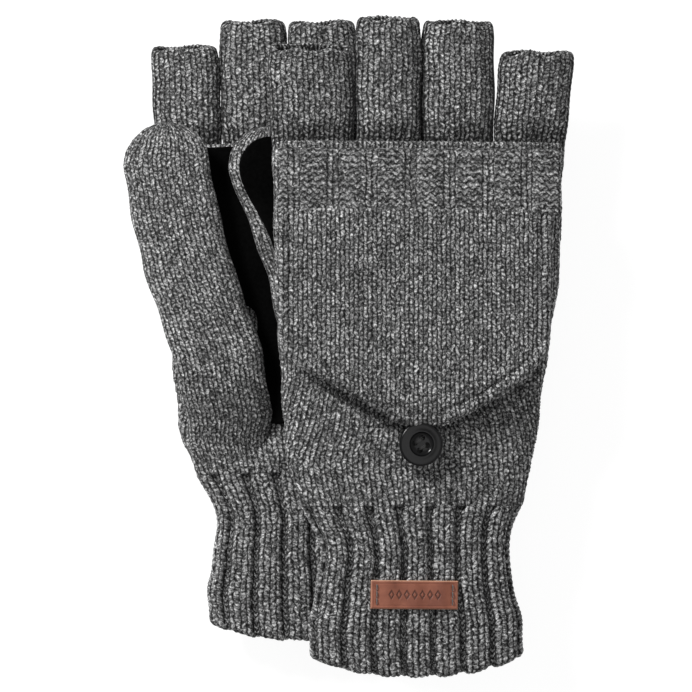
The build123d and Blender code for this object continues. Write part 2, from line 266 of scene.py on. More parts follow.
# ==== Shells ====
def ring(left, right, middle, thick, sharp, count):
    """Points round a flat tube's section, evenly spaced along it, from the middle of its upper face towards +X."""
    angle = np.linspace(math.pi / 2, -1.5 * math.pi, 1441)
    half, rise = (right - left) / 2, thick / 2
    power = max(2.2, sharp)
    x = np.sign(np.cos(angle)) * np.abs(np.cos(angle)) ** (2 / power) * half
    z = np.sign(np.sin(angle)) * np.abs(np.sin(angle)) ** (2 / 2.2) * rise
    length = np.concatenate([[0], np.cumsum(np.hypot(np.diff(x), np.diff(z)))])
    share = np.linspace(0, length[-1], count, endpoint=False)
    points = np.stack([np.interp(share, length, x) + (left + right) / 2, np.interp(share, length, z) + middle], 1)
    return points, length[-1]


def rows_of(path, fine=GRID, coarse=2.4):
    """Points along a path of (y, inset, fine or not) corners."""
    found = []
    for (y0, in0, is_fine), (y1, in1, _) in zip(path, path[1:]):
        steps = max(1, int(math.hypot(y1 - y0, in1 - in0) / (fine if is_fine else coarse)))
        for k in range(steps):
            t = k / steps
            found.append((y0 + (y1 - y0) * t, in0 + (in1 - in0) * t, is_fine))
    found.append(path[-1])
    return found


def rolled(y, wall, out, turns=6):
    """Corners of a rounded edge from the outside (out = +1 towards +Y) to the inside of a tube."""
    r = wall / 2
    return [(y + out * r * math.sin(a), r * (1 - math.cos(a)), True) for a in np.linspace(0, math.pi, turns)]


def hump(x, middle, reach):
    return np.exp(-(((x - middle) / reach) ** 2))


def shell(glove, name, outline, path, stitches, sharp=6.0, closed=True, base_drop=0.25, seed=1, puff=0.3,
          count=None, place=None, wander=0.3, ridge=0.0):
    """A knitted shell: rings along a path, displaced by stitches(row info) along their normals."""
    rows = rows_of(path)
    at = np.array([r[0] for r in rows])
    left, right, middle, thick = outline.at(at)
    left = left + wander * np.sin(0.31 * at + 1.7 * seed)
    right = right + wander * np.sin(0.27 * at + 2.9 * seed)
    widest = max(right - left)
    if count is None:
        count = int(2 * (widest + thick.max() * 0.6) / GRID)
    grid, around = [], []
    for k, (y, inset, _) in enumerate(rows):
        room = 2 * (inset + base_drop)
        wide = max(right[k] - left[k] - room, 0.3)
        high = max(thick[k] - room, 0.15)
        centre = (left[k] + right[k]) / 2
        points, length = ring(centre - wide / 2, centre + wide / 2, middle[k], high, sharp, count)
        grid.append(np.column_stack([points[:, 0], np.full(count, y), points[:, 1]]))
        around.append(length)
    grid, around = np.array(grid), np.array(around)
    grid[..., 2] += swell(grid[..., 0], grid[..., 1], seed, puff)
    # normals from the smooth shape
    across = np.roll(grid, -1, 1) - np.roll(grid, 1, 1)
    if closed:
        along = np.roll(grid, -1, 0) - np.roll(grid, 1, 0)
        along[0] = grid[1] - grid[0]
    else:
        along = np.gradient(grid, axis=0)
    normal = np.cross(along, across)
    normal /= np.linalg.norm(normal, axis=2, keepdims=True) + 1e-9
    # distance along the path gives the courses; the first column is repeated at the end, where the stitches wrap
    move = np.hypot(np.diff([r[0] for r in rows]), np.diff([r[1] for r in rows]))
    travel = np.concatenate([[0], np.cumsum(move)])
    wrapped = np.concatenate([grid, grid[:, :1]], 1)
    info = {
        "share": np.arange(count + 1) / count,
        "around": around[:, None],
        "travel": travel[:, None] + rows[0][0] + 0 * wrapped[..., 0],
        "y": wrapped[..., 1],
        "x": wrapped[..., 0],
    }
    u, v, purl, sink, drop = (np.broadcast_to(a, wrapped.shape[:2]) for a in stitches(info))
    height = plain_stitch(u, v) * (1 - purl) + purl_stitch(u, v) * purl
    is_fine = np.array([r[2] for r in rows], float)[:, None]
    rise = (height * STITCH_DEPTH - sink * drop) * is_fine
    if ridge:
        x, upper = wrapped[..., 0], wrapped[..., 2] > middle[:, None]
        run = np.gradient(at) + 1e-9
        lean = [np.hypot(1, np.gradient(edge) / run)[:, None] for edge in (left, right)]
        inward = np.minimum((x - left[:, None]) / lean[0], (right[:, None] - x) / lean[1])
        rise = rise + ridge * upper * (hump(inward, 2.0, 1.1) - 0.7 * hump(inward, 4.4, 0.8))
    grid = grid + normal * rise[:, :count, None]
    return knit_mesh(glove, name, grid, closed, u, v, purl, sink, place)


def new_object(name, data):
    obj = bpy.data.objects.new(name, data)
    bpy.context.scene.collection.objects.link(obj)
    return obj


def shade_smooth(mesh):
    mesh.polygons.foreach_set("use_smooth", np.ones(len(mesh.polygons), bool))


def points_of(mesh):
    points = np.zeros(len(mesh.vertices) * 3)
    mesh.vertices.foreach_get("co", points)
    return points.reshape(-1, 3)


def knit_mesh(glove, name, grid, closed, u, v, purl, sink, place=None):
    """The grid as a Blender mesh. Its UV map counts stitches; its colour attribute holds where the wrong side
    shows and how much painted shade a point takes: deep in grooves, on the stubs and in the flap's crease."""
    rows, count = grid.shape[:2]
    points = grid.reshape(-1, 3)
    if not closed:
        points = np.vstack([points, grid[0].mean(0), grid[-1].mean(0)])
    if place is not None:
        points = place(points)
    index = np.arange(rows * count).reshape(rows, count)
    last = rows if closed else rows - 1
    a = index[:last]
    b = np.roll(index, -1, 0)[:last]
    faces = np.stack([a, np.roll(a, -1, 1), np.roll(b, -1, 1), b], -1).reshape(-1, 4)
    if glove.mirrored:
        faces = faces[:, ::-1]
    loops = faces.ravel()
    starts = np.arange(len(faces)) * 4
    if not closed:
        tris = []
        low, high = rows * count, rows * count + 1
        for j in range(count):
            k = (j + 1) % count
            tris.append((low, index[0, k], index[0, j]))
            tris.append((high, index[-1, j], index[-1, k]))
        tris = np.array(tris)
        if glove.mirrored:
            tris = tris[:, ::-1]
        starts = np.concatenate([starts, len(loops) + np.arange(len(tris)) * 3])
        loops = np.concatenate([loops, tris.ravel()])
    mesh = bpy.data.meshes.new(f"{glove.side}_{name}")
    mesh.vertices.add(len(points))
    mesh.vertices.foreach_set("co", glove.to_world(points).ravel())
    mesh.loops.add(len(loops))
    mesh.loops.foreach_set("vertex_index", loops)
    mesh.polygons.add(len(starts))
    mesh.polygons.foreach_set("loop_start", starts)
    mesh.update(calc_edges=True)
    shade_smooth(mesh)
    colour = np.zeros((len(points), 4))
    colour[: rows * count, 0] = purl[:, :count].ravel()
    colour[: rows * count, 1] = sink[:, :count].ravel()
    layer = mesh.attributes.new("yarn", "FLOAT_COLOR", "POINT")
    layer.data.foreach_set("color", colour.ravel())
    row, column = np.divmod(loops, count)
    is_grid = loops < rows * count
    row, column = np.where(is_grid, row, 0), np.where(is_grid, column, 0)
    quad = np.arange(len(loops)) < len(faces) * 4
    first = np.where(quad, (np.arange(len(loops)) // 4) % count, 0)
    column = np.where(quad & (first == count - 1) & (column == 0), count, column)
    uv = np.stack([u[row, column], v[row, column]], 1)
    mesh.uv_layers.new(name="stitches").data.foreach_set("uv", uv.ravel())
    mesh.validate()
    return new_object(f"{glove.side}_{name}_look", mesh)


# ==== Stitch plans ====
def stocking(u, v):
    return u, v + column_shift(u), 0.0, 0.0, 0.0


def face_wales(info, pitch):
    """Wales counted out from the middle of each face: the columns stay straight, the sides take up the rest."""
    share, around = info["share"][None, :], info["around"]
    total = around / pitch
    top = share * total
    under = CUFF_WALES / 2 + (share - 0.5) * total
    back = CUFF_WALES + (share - 1) * total
    return np.where(share < 0.25, top, np.where(share < 0.75, under, back))


def hand_plan(info):
    """The cuff's rib runs out into stocking stitch at the start of the hand."""
    out = ease(0, 45, info["y"])
    pitch = info["around"] / CUFF_WALES * (1 - out) + WALE * out
    wales = face_wales(info, pitch)
    ribbed = ease(9, -6, info["y"])
    u, groove, across = warp(wales, RIB_WALES, RIB_KNIT, (2 / 3) + (RIB_SHARE - 2 / 3) * ribbed)
    # how deep in a rib's groove: the shell drops it by RIB_DROP, and the shader paints shade into it
    sink = ribbed * ease(0.66, 1.06, across)
    return u, info["travel"] / COURSE + column_shift(u), ribbed * ease(0, 0.2, groove), sink, RIB_DROP


def tube_plan(pitch):
    """A whole number of columns round a small tube."""
    def plan(info):
        wales = round(float(np.median(info["around"])) / pitch)
        return stocking(info["share"][None, :] * wales + 0 * info["x"], info["travel"] / COURSE)
    return plan


def stub_plan(base, end):
    """A finger's columns, with painted shade on the sides where the stubs press on each other, at the foot by the
    flap, and inside the mouth.
    """
    columns = tube_plan(3.3)

    def plan(info):
        u, v, purl, _, _ = columns(info)
        # painted shade: the sides, the foot and the inside of the mouth darken through the shader; with no drop the
        # shape stays
        side = ease(0.62, 0.12, np.abs(np.cos(2 * math.pi * info["share"][None, :])))
        foot = ease(base + 8.5, base + 0.5, info["y"])
        inside = 1.6 * ease(end + 1.0, end + 3.5, info["travel"])
        return u, v, purl, np.maximum(0.95 * np.clip(side + foot, 0, 1), inside), 0.0
    return plan


def flat_plan(info):
    return stocking((info["x"] + 200) / WALE, info["y"] / COURSE)


def hem_plan(info):
    u, groove, _ = warp((info["x"] + HEM_RIB_START) / HEM_RIB * 4, 4, 1, 0.3)
    purl = ease(0, 0.12, groove)
    # the purl bands sink by 0.3 mm, and the same value paints shade into them through the shader
    return u + 0.5, info["y"] / COURSE, purl, 0.3 * purl, 1.0


# ==== Materials ====
def nodes_of(name):
    material = bpy.data.materials.new(name)
    material.use_nodes = True
    tree = material.node_tree
    return material, tree, tree.nodes["Principled BSDF"]


def put(node, **values):
    """Sets a node's properties and sockets. A value that is another node's output is linked."""
    for key, value in values.items():
        if hasattr(node, key):
            setattr(node, key, value)
            continue
        socket = node.inputs[key.replace("_", " ")]
        if isinstance(value, bpy.types.NodeSocket):
            node.id_data.links.new(value, socket)
        else:
            socket.default_value = value
    return node


def add(tree, kind, **values):
    return put(tree.nodes.new("ShaderNode" + kind), **values)


def texture(tree, kind, **values):
    """A texture in object coordinates."""
    node = add(tree, kind, **values)
    return put(node, Vector=add(tree, "TexCoord").outputs["Object"])


def bumped(tree, height, strength, distance):
    return add(tree, "Bump", Strength=strength, Distance=distance, Height=height)


def ramp(tree, source, stops):
    node = add(tree, "ValToRGB", Fac=source)
    elements = node.color_ramp.elements
    while len(elements) < len(stops):
        elements.new(0.5)
    for element, (place, colour) in zip(elements, stops):
        element.position = place
        element.color = (*colour, 1)
    return node.outputs["Color"]


def maths(tree, operation, *values):
    node = add(tree, "Math", operation=operation)
    for socket, value in zip(node.inputs, values):
        if isinstance(value, (int, float)):
            socket.default_value = value
        else:
            tree.links.new(value, socket)
    return node.outputs[0]


def grey(value):
    return value, value, value


def knit_material():
    """Marled wool. The UV map counts stitches, so the shader knows each leg of each stitch: its round, its shadow
    against the next leg, its twist, and its own mix of black, grey and pale fibres."""
    material, tree, shader = nodes_of("marled_knit")

    def m(operation, *values):
        return maths(tree, operation, *values)

    def blend(a, b, share):
        return m("ADD", m("MULTIPLY", a, m("SUBTRACT", 1.0, share)), m("MULTIPLY", b, share))

    def arch(phase):
        return m("MAXIMUM", m("SINE", m("MULTIPLY", phase, math.pi)), 0.0)

    stitches = add(tree, "UVMap", uv_map="stitches")
    wobble = texture(tree, "TexNoise", Scale=470, Detail=3)
    shake = add(tree, "SeparateColor", Color=wobble.outputs["Color"]).outputs
    split = add(tree, "SeparateXYZ", Vector=stitches.outputs[0]).outputs
    u = m("ADD", split[0], m("MULTIPLY_ADD", shake[0], 0.64, -0.32))
    v = m("ADD", split[1], m("MULTIPLY_ADD", shake[1], 1.2, -0.6))
    yarn = add(tree, "Attribute", attribute_name="yarn")
    purl, sink = add(tree, "SeparateColor", Color=yarn.outputs["Color"]).outputs[:2]
    # a leg of a plain stitch
    leg = m("MULTIPLY_ADD", m("ABSOLUTE", m("SUBTRACT", m("FRACT", u), 0.5)), 4.0, -1.0)
    along = m("MULTIPLY_ADD", leg, -LEG_SLANT, v)
    step = m("FRACT", along)
    round_ = m("POWER", m("MAXIMUM", m("SUBTRACT", 1.0, m("MULTIPLY", leg, leg)), 0.0), 0.65)
    bead = m("POWER", arch(step), 0.6)
    plain = m("MULTIPLY", round_, m("MULTIPLY_ADD", bead, 0.65, 0.35))
    # a bump of the wrong side
    wave = m("MULTIPLY_ADD", m("COSINE", m("MULTIPLY", u, 2 * math.pi)), PURL_WAVE, v)
    wrong = m("MULTIPLY_ADD", m("POWER", arch(m("FRACT", wave)), 0.8), 0.62, 0.26)
    height = blend(plain, wrong, purl)
    # each leg's own tone, its twist and its fibres
    row = m("FLOOR", blend(along, wave, m("GREATER_THAN", purl, 0.5)))
    which = add(tree, "CombineXYZ", X=m("FLOOR", m("MULTIPLY", u, 2.0)), Y=row)
    own = add(tree, "TexWhiteNoise", noise_dimensions="2D", Vector=which.outputs[0]).outputs["Value"]
    start = m("ADD", m("MULTIPLY", leg, 3.2), m("MULTIPLY", own, 6.28))
    twist = m("SINE", m("ADD", m("MULTIPLY", step, 11.0), start))
    fibre = texture(tree, "TexNoise", Scale=1150, Detail=4, Roughness=0.7).outputs["Fac"]
    tone = m("ADD", m("MULTIPLY", own, 0.26), m("MULTIPLY_ADD", twist, 0.13, 0.08))
    tone = m("ADD", tone, m("MULTIPLY_ADD", fibre, 2.6, -1.08))
    colour = ramp(tree, tone, [(0.05, grey(0.024)), (0.38, grey(0.155)), (0.62, grey(0.37)), (0.95, grey(0.86))])
    # painted shade: the stitches' height darkens the gaps between legs, and the yarn attribute's second channel
    # darkens the rib grooves, purl bands, the stubs' sides, feet and mouths, and the crease along the flap
    lit = m("SUBTRACT", height, m("MULTIPLY", sink, 0.24))
    shade = ramp(tree, lit, [(0.15, grey(0.008)), (0.44, grey(0.27)), (0.80, grey(1.0))])
    both = add(tree, "Mix", data_type="RGBA", blend_type="MULTIPLY", Factor=1.0, A=colour, B=shade)
    fuzz = bumped(tree, fibre, 0.5, 0.0002)
    put(fuzz, Normal=bumped(tree, height, 0.5, 0.0004).outputs[0])
    put(shader, Base_Color=both.outputs["Result"], Normal=fuzz.outputs[0], Roughness=0.92, Specular_IOR_Level=0.15,
        Sheen_Weight=0.08, Sheen_Roughness=0.6)
    return material


def suede_material():
    material, tree, shader = nodes_of("black_suede")
    nap = texture(tree, "TexNoise", Scale=900, Detail=4).outputs["Fac"]
    brushed = texture(tree, "TexNoise", Scale=60).outputs["Fac"]
    mix = maths(tree, "ADD", maths(tree, "MULTIPLY", nap, 0.6), maths(tree, "MULTIPLY", brushed, 0.4))
    colour = ramp(tree, mix, [(0.3, grey(0.0006)), (0.7, grey(0.0032))])
    normal = bumped(tree, nap, 0.35, 0.0002).outputs[0]
    put(shader, Base_Color=colour, Normal=normal, Roughness=0.95, Specular_IOR_Level=0.04)
    return material


def plastic_material():
    material, tree, shader = nodes_of("button_plastic")
    swirl = texture(tree, "TexNoise", Scale=220, Distortion=1.5).outputs["Fac"]
    colour = ramp(tree, swirl, [(0.3, (0.003, 0.003, 0.0033)), (0.8, (0.007, 0.007, 0.0075))])
    rough = ramp(tree, swirl, [(0.2, grey(0.17)), (0.9, grey(0.27))])
    put(shader, Base_Color=colour, Roughness=rough, Specular_IOR_Level=0.3)
    return material


def leather_material():
    """Tanned leather: `burn` darkens the pressed diamonds, `wear` lightens the cut edges."""
    material, tree, shader = nodes_of("label_leather")
    grain = texture(tree, "TexVoronoi", feature="DISTANCE_TO_EDGE", Scale=1400).outputs["Distance"]
    cloud = texture(tree, "TexNoise", Scale=160, Detail=4).outputs["Fac"]
    browns = [(0.25, (0.15, 0.042, 0.024)), (0.5, (0.25, 0.078, 0.043)), (0.8, (0.36, 0.125, 0.072))]
    colour = ramp(tree, cloud, browns)
    for attribute, tint in (("burn", (0.035, 0.012, 0.009, 1)), ("wear", (0.62, 0.36, 0.24, 1))):
        mask = add(tree, "Attribute", attribute_name=attribute)
        mix = add(tree, "Mix", data_type="RGBA", Factor=mask.outputs["Fac"], A=colour, B=tint)
        colour = mix.outputs["Result"]
    put(shader, Base_Color=colour, Normal=bumped(tree, grain, 0.3, 0.0001).outputs[0], Roughness=0.5)
    return material


def thread_material(name, value):
    material, tree, shader = nodes_of(name)
    twist = texture(tree, "TexWave", Scale=900, Distortion=2.0).outputs["Fac"]
    colour = ramp(tree, twist, [(0.2, grey(value * 0.5)), (0.8, grey(value * 1.6))])
    put(shader, Base_Color=colour, Roughness=0.8, Sheen_Weight=0.3)
    return material


knit = knit_material()
suede = suede_material()
plastic = plastic_material()
leather = leather_material()
thread = thread_material("dark_thread", 0.02)
elastic = thread_material("elastic_cord", 0.035)
tan_thread = thread_material("label_thread", 0.10)


# ==== Pieces ====
def finish(glove, obj, material, slot, body, *nodes):
    obj.data.materials.append(material)
    if body:
        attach(obj, f"{glove.side}_{body}")
    if nodes:
        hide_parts(*[f"{glove.side}_{n}" for n in nodes])
    return obj


def body_outline(glove):
    """The hand and cuff as one outline, carried straight on past the hem's curve."""
    hand, cuff = glove.outline("hand_knit"), glove.outline("cuff_rib")
    whole = cuff.y > CUFF_CORNER_Y + 1
    cuff = Outline(*[v[whole] for v in cuff.values()])
    slope = [(v[8] - v[0]) / (cuff.y[8] - cuff.y[0]) for v in cuff.values()]
    more = np.linspace(-14, -1, 14)
    beyond = Outline(*[v[0] + more * k for v, k in zip(cuff.values(), slope)])
    return beyond.joined(cuff).joined(hand).resampled().smooth(9.0)


def cuff_hem(glove):
    return glove.node("cuff_rib")[0][:, 1].min()


def make_hand(glove):
    outline = body_outline(glove)
    length = glove.length
    path = [(0.0, 0.0, True), (length - 2.0, 0.0, True), *rolled(length - 1.0, 3.4, 1),
            (length - 6, WALL, False), (0.0, WALL, False)]
    obj = shell(glove, "hand_knit", outline, path, hand_plan, sharp=7.0, seed=11, count=BODY_COUNT,
                place=flap_crease(glove))
    # painted shade in the crease along the flap's edge
    paint_crease_shade(glove, obj.data)
    finish(glove, obj, knit, "knit", "hand", "hand_knit")


def outside_flap(glove, x, y):
    """Distance in plan from the flap's edge out, negative under the flap."""
    flap = glove.outline("flap_palm_panel", 0.5)
    edge_y = y + FLAP_SAG * ease(64, 38, y)
    left, right = flap.at(edge_y)[:2]
    lean = [np.interp(edge_y, flap.y, 1 / np.hypot(1, np.gradient(edge, flap.y)))
            for edge in (flap.left, flap.right)]
    outside = np.maximum((left - x) * lean[0], (x - right) * lean[1])
    return np.where(edge_y < flap.y[0], np.hypot(x - BUTTON_PIVOT[0], flap.y[0] - edge_y), outside)


def paint_crease_shade(glove, mesh):
    """Painted shade in the crease along the flap's edge, strongest on the little finger's side, written into the
    yarn attribute's groove channel.
    """
    x, y, z = glove.to_local(points_of(mesh)).T
    outside = outside_flap(glove, x, y)
    share = hump(outside, 0.6, np.where(outside < 0.6, 1.4, 1.0))
    share = share * ease(1.0, 3.0, z) * ease(76, 62, y) * (0.3 + 0.7 * ease(2, 10, x))
    colour = np.zeros(len(mesh.vertices) * 4)
    layer = mesh.attributes["yarn"].data
    layer.foreach_get("color", colour)
    colour = colour.reshape(-1, 4)
    colour[:, 1] = np.maximum(colour[:, 1], 1.2 * share)
    layer.foreach_set("color", colour.ravel())


def flap_crease(glove):
    """The back of the hand is pressed in along the flap's lower edge."""
    def place(points):
        points = points.copy()
        x, y, z = points.T
        outside = outside_flap(glove, x, y)
        depth = hump(outside, 1.0, np.where(outside < 1.0, 3.5, 1.5))
        points[:, 2] -= CREASE_DEPTH * depth * ease(1.5, 3.5, z) * ease(76, 62, y)
        return points

    return place


def make_cuff(glove):
    outline = body_outline(glove)
    hem = cuff_hem(glove) + 1.2
    path = [(0.0, 0.0, True), (hem, 0.0, True), *rolled(hem, 2.4, -1), (hem + 14, 2.4, True), (0.0, WALL, False)]
    obj = shell(glove, "cuff_rib", outline, path, hand_plan, sharp=7.0, seed=11, count=BODY_COUNT,
                place=cuff_droop(glove))
    finish(glove, obj, knit, "rib_knit", "hand", "cuff_rib")


def cuff_droop(glove):
    """The cuff's hem is an arc: its corners sit higher than its middle, and each rib ends in a small curve."""
    hem = cuff_hem(glove)

    def place(points):
        points = points.copy()
        x, y = points[:, 0], points[:, 1]
        y += CUFF_ARC * ease(-25, hem, y) * (np.abs(x) / CUFF_HALF_WIDTH) ** 2.4
        y -= 0.25 * ease(hem + 9, hem, y) * np.cos(2 * math.pi * (x + 1.6) / 10.2)
        return points

    return place


def stub_mouth(glove, outline, seed, gape):
    """The open end: rounded corners, a slightly gaping mouth, and the layer that faces up drawn back and wavy."""
    base, end = outline.y[0], outline.y[-1]
    left, right, middle, _ = outline.at(end)
    centre, half = (left + right) / 2, (right - left) / 2
    facing = -1 if glove.mirrored else 1

    def place(points):
        x, y, z = points.T
        share = ease(end - 8, end, y)
        rel = (x - centre) / half
        rise = (z - middle) * facing
        drawn = share * ease(-1, 2.5, rise) * (gape + 0.8 * np.sin(0.5 * x + seed))
        y2 = y + share * (0.9 - 1.3 * np.abs(rel) ** 7) - drawn + 0.35 * share * np.sin(0.42 * x + 2.1 * seed)
        belly = np.sin(math.pi * np.clip((y - base) / (end - base), 0, 1))
        x2 = x + rel * (0.25 + 0.35 * belly) - 0.4 * share**2 * rel
        z2 = z + np.sign(z - middle) * 0.5 * share * np.clip(1 - rel**2, 0, 1)
        return np.stack([x2, y2, z2], 1)

    return place


def make_stub(glove, name):
    outline = glove.outline(name + "_stub")
    low, high = outline.y[0], outline.y[-1]
    start = low - 4.0
    rows = np.concatenate([[start], outline.y])
    sunk = [np.concatenate([[v[0]], v]) for v in (outline.left, outline.right, outline.middle, outline.thick)]
    sunk[3][0] -= 2.4
    sunk[3] = sunk[3] * (0.62 + 0.38 * ease(low - 2, low + 9, rows))
    outline = Outline(rows, *sunk)
    path = [(start, 0.0, True), (high - 1.2, 0.0, True), *rolled(high - 1.2, 2.9, 1), (high - 9.0, WALL, True),
            (start, WALL, False)]
    seed = 20 + STUBS.index(name)
    gape = 2.5 if name == "index" and not glove.mirrored else 1.2
    obj = shell(glove, name + "_stub", outline, path, stub_plan(low, high), sharp=2.3, seed=seed, puff=0.25,
                base_drop=0.05, place=stub_mouth(glove, outline, seed, gape), wander=0.2)
    finish(glove, obj, knit, "knit", "hand", name + "_stub")
    return obj


def make_thumb(glove):
    """The whole thumb. Its base dives into the hand's edge as it runs down towards the wrist."""
    outline = glove.outline("thumb_knit", 0.5)
    base, tip = outline.y[0], outline.y[-1]
    hand = body_outline(glove)
    dive = np.arange(base - 17, base - 0.5, 1.0)
    hand_left = hand.at(dive)[0]
    share = ease(base - 17, base + 4, dive)
    left = (hand_left + 2.5) * (1 - share) + outline.left[0] * share
    right = left + 27 + 4 * share
    rows = np.concatenate([dive, outline.y])
    left = np.concatenate([left, outline.left])
    right = np.concatenate([right, outline.right])
    sink = ease(base - 17, base + 24, rows)
    middle = -2.0 * (1 - sink) + outline.middle[0] * sink
    thick = np.concatenate([np.full(len(dive), outline.thick[0]), outline.thick])
    thick = thick * (0.45 + 0.55 * ease(base - 17, base + 10, rows))
    outline = Outline(rows, left, right, middle, thick)
    smooth = outline.resampled(0.5).smooth(5.0)
    for name in ("left", "right", "thick"):
        mixed = np.interp(smooth.y, rows, getattr(outline, name))
        weight = ease(tip - 16, tip - 8, smooth.y)
        setattr(smooth, name, getattr(smooth, name) * (1 - weight) + mixed * weight)
    start = rows[0]
    path = [(tip - 6.0, WALL, False), (start, WALL, False), (start, 0.0, True), (tip - 8.0, 0.0, True),
            (tip - 0.05, 0.0, True)]
    obj = shell(glove, "thumb_knit", smooth, path, tube_plan(3.25), sharp=3.2, closed=False, seed=31, puff=0.35,
                place=thin_tip(tip))
    return finish(glove, obj, knit, "knit", "hand", "thumb_knit")


def thin_tip(tip):
    """The pad of the thumb is flatter towards its tip, where the closed flap's hem passes over it."""
    def place(points):
        points = points.copy()
        above = np.clip((points[:, 2] - THUMB_UNDERSIDE) / 9.0, 0, 1)
        points[:, 2] -= THUMB_THINNING * above * ease(tip - 38, tip - 24, points[:, 1])
        return points

    return place


def under_button(points):
    """Presses the flap's point down where the button holds it."""
    points = points.copy()
    away = np.hypot(points[:, 0] - BUTTON_PIVOT[0], points[:, 1] - BUTTON_PIVOT[1])
    floor = BACK_OF_HAND + 0.5
    points[:, 2] = floor + (points[:, 2] - floor) * (0.42 + 0.58 * ease(6.0, 10, away))
    points[:, 1] -= FLAP_SAG * ease(64, 38, points[:, 1])
    return points


def make_flap(glove):
    """The pocket: its palm panel's shell, and the strip of its back panel that turns on the knuckles."""
    back, palm = glove.outline("flap_back_panel", 0.5), glove.outline("flap_palm_panel", 0.5)
    low, high = back.middle[0] - back.thick[0] / 2, palm.middle[0] + palm.thick[0] / 2
    tip, mouth = palm.y[0], palm.y[-1] + 1.5
    rows = np.concatenate([[tip - 1.6, tip - 0.8], palm.y, [mouth]])
    reach = ease(tip - 3, tip + 4, rows)
    left, right = palm.at(rows)[:2]
    nose = np.clip((rows - (tip - 1.7)) / 3.0, 0, 1) ** 0.5
    centre = (left[0] + right[0]) / 2
    left, right = centre + (left - centre) * nose, centre + (right - centre) * nose
    top = (BACK_OF_HAND + 2.5) * (1 - reach) + high * reach
    bottom = (BACK_OF_HAND + 0.4) * (1 - reach) + low * reach
    outline = Outline(rows, left, right, (top + bottom) / 2, top - bottom)
    lining = 1.5
    path = [(tip + 4.0, lining, False), (mouth, lining, False), (mouth, 0.0, True), (rows[0] + 3.0, 0.0, True),
            (rows[0], 0.0, True)]
    obj = shell(glove, "flap", outline, path, flat_plan, sharp=9.0, closed=False, seed=41, puff=0.25,
                place=under_button, ridge=0.75)
    finish(glove, obj, knit, "knit", None, "flap_palm_panel")
    start, end = glove.to_world([[0.5, 60, back.middle[0] + 0.6], [0.5, 60, palm.middle[0] - 0.4]])
    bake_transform(obj)
    # the back panel goes on under the hem to the knuckle line
    rows = np.arange(mouth - 1.5, back.y[-1] + 0.01, 0.5)
    left, right, middle, thick = back.at(rows)
    band = Outline(rows, left + 0.4, right - 0.4, middle, thick)
    path = [(rows[0] + 0.6, 0.8, False), (rows[0], 0.0, True), (rows[-1] - 0.8, 0.0, True), (rows[-1], 0.8, True)]
    strip = shell(glove, "flap_knuckle_band", band, path, flat_plan, sharp=20.0, closed=False, seed=41, puff=0.0)
    finish(glove, strip, knit, "knit", "flap_back", "flap_back_panel")


def make_hem(glove):
    outline = glove.outline("flap_rib_hem", 0.5)
    low, high = outline.y[0], outline.y[-1]
    thick = float(np.median(outline.thick))
    left, right = outline.left.min(), outline.right.max()
    rows = np.linspace(low, high, 40)
    flat = np.full(40, 1.0)
    outline = Outline(rows, left * flat, right * flat, (np.median(outline.middle) + 0.35) * flat, thick * flat)
    r = 1.1
    path = [(low + r * (1 - math.cos(a)), r * (1 - math.sin(a)), True) for a in np.linspace(0, math.pi / 2, 5)]
    path += [(high - r * (1 - math.cos(a)), r * (1 - math.sin(a)), True) for a in np.linspace(math.pi / 2, 0, 5)]
    obj = shell(glove, "flap_rib_hem", outline, path, hem_plan, sharp=16.0, closed=False, seed=43, puff=0.15)
    finish(glove, obj, knit, "rib_knit", "flap_palm", "flap_rib_hem")


def make_base_seam(glove):
    """The chain of picked-up stitches along the knuckle line."""
    points = glove.node("flap_base_seam")[0]
    low, high = points.min(0), points.max(0)
    centre = (low + high) / 2
    rows = np.linspace(0, high[0] - low[0], 60)
    one = np.ones(60)
    outline = Outline(rows, -0.95 * one, 0.95 * one, 0 * one, 1.9 * one)

    def place(canonical):
        return np.stack([low[0] + canonical[:, 1], centre[1] - canonical[:, 0], centre[2] + canonical[:, 2]], 1)

    def chain(info):
        return info["share"][None, :] * 4 + 0 * info["x"], info["travel"] / 1.6, 0.0, 0.0, 0.0

    end = rows[-1]
    path = [(0.0, 0.6, True), (0.6, 0.0, True), (end - 0.6, 0.0, True), (end, 0.6, True)]
    obj = shell(glove, "flap_base_seam", outline, path, chain, sharp=2.2, closed=False, seed=44, puff=0.0, count=16,
                place=place, wander=0.0)
    finish(glove, obj, knit, "knit", "hand", "flap_base_seam")


def make_patch(glove, node, place=None):
    """A suede patch: a thin sheet with a rounded cut edge."""
    outline = glove.outline(node, 0.5)
    low, high = outline.y[0], outline.y[-1]
    outline = Outline(outline.y, outline.left, outline.right, outline.middle, outline.thick + PATCH_PROUD)
    path = [(low, 0.5, True), (low + 0.3, 0.1, True), (low + 0.8, 0.0, True),
            (high - 0.8, 0.0, True), (high - 0.3, 0.1, True), (high, 0.5, True)]

    def nap(info):
        return 0.5, 0.0, 0.0, 0.0, 0.0

    obj = shell(glove, node, outline, path, nap, sharp=30.0, closed=False, seed=51, puff=0.15, base_drop=0.0,
                wander=0.15, place=place)
    finish(glove, obj, suede, "suede", "hand", node)
    return obj


def evaluated_mesh(obj):
    bpy.context.view_layer.update()
    return bpy.data.meshes.new_from_object(obj.evaluated_get(bpy.context.evaluated_depsgraph_get()))


